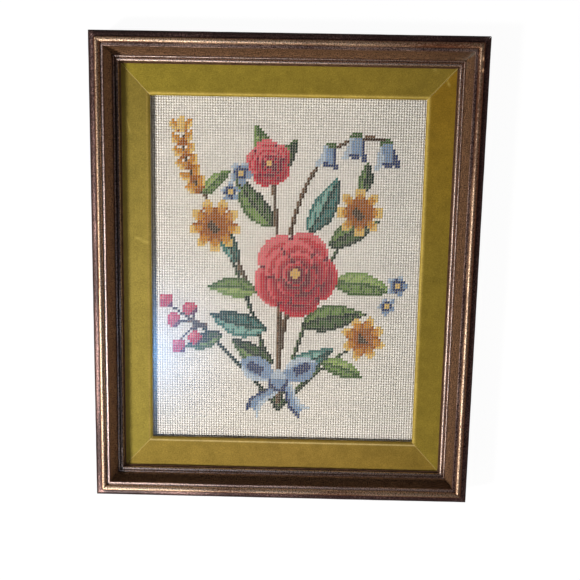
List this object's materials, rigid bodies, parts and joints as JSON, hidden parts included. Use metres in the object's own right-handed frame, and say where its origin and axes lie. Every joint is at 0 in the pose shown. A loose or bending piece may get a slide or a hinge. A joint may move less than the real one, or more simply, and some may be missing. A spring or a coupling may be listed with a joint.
{
  "type": "framed needlepoint picture",
  "caption": "Upright rectangular needlepoint in a mitred wooden moulding with a sloped velvet liner, glass and a backing board.",
  "frame": {"origin": "on the surface that the back lies on, under the middle of the frame", "axes": "+Z out of the picture's face, +Y towards the picture's top, +X to the picture's right"},
  "size_m": [0.38, 0.46, 0.039],
  "materials": {
    "walnut_moulding": "satin stain with a rubbed bronze and copper wash on the high points",
    "olive_velvet": "short pile velvet",
    "picture_glass": "polished float glass",
    "tapestry_wool": "matte wool tent stitch",
    "hardboard": "plain pressed board"
  },
  "bodies": {
    "root": {"rail_bottom": "walnut_moulding", "rail_right": "walnut_moulding", "rail_top": "walnut_moulding", "rail_left": "walnut_moulding", "liner_bottom": "olive_velvet", "liner_right": "olive_velvet", "liner_top": "olive_velvet", "liner_left": "olive_velvet", "glass": "picture_glass", "needlepoint": "tapestry_wool", "backing_board": "hardboard"}
  },
  "joints": []
}
